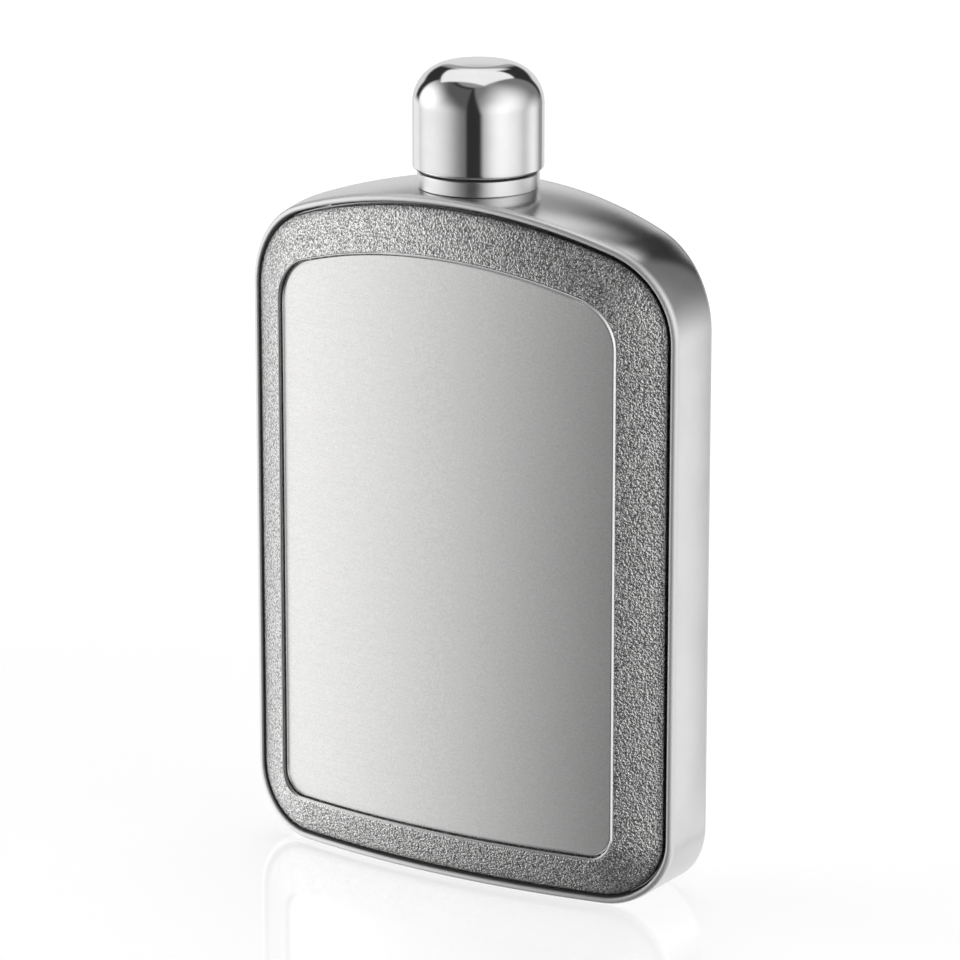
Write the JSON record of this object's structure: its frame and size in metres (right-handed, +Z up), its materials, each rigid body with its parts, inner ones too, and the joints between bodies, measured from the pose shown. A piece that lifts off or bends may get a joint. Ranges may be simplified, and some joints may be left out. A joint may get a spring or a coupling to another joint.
{
  "type": "hip flask",
  "caption": "Flat pocket flask with curved faces, raised textured borders round brushed plates, a satin side band and a domed screw cap on a threaded spout.",
  "frame": {"origin": "middle of the flat base, under the neck", "axes": "+Z up along the spout, -Y out of the front plate, +X to the right seen from the front"},
  "size_m": [0.0864, 0.0304, 0.1431],
  "materials": {
    "satin_steel": "satin, brushed along the band",
    "sheet_steel": "plain pressed sheet",
    "cast_pewter": "cast pewter look, finely stippled and darkened in the hollows",
    "brushed_plate": "fine brushing from side to side",
    "polished_steel": "bright polish",
    "insert_plastic": "moulded, matt",
    "seal_rubber": "smooth food-grade rubber"
  },
  "bodies": {
    "flask": {"body_band": "satin_steel", "front_wall": "sheet_steel", "rear_wall": "sheet_steel", "front_plaque": "cast_pewter", "rear_plaque": "cast_pewter", "front_plate": "brushed_plate", "rear_plate": "brushed_plate", "neck_ring": "polished_steel", "neck_spout": "sheet_steel"},
    "cap_seal": {"cap_gasket": "seal_rubber"},
    "cap": {"cap_shell": "polished_steel", "cap_insert": "insert_plastic"}
  },
  "joints": [
    {"name": "cap_lift", "type": "slide", "parent": "flask", "child": "cap_seal", "axis": [0, 0, 1], "range_m": [0, 0.012]},
    {"name": "cap_turn", "type": "hinge", "parent": "cap_seal", "child": "cap", "pos_m": [0, 0, 0.1249], "axis": [0, 0, 1], "range_deg": [0, 1440]}
  ],
  "couplings": [
    {"joint": "cap_lift", "follows": "cap_turn", "m_per_rad": 0.00047746}
  ]
}
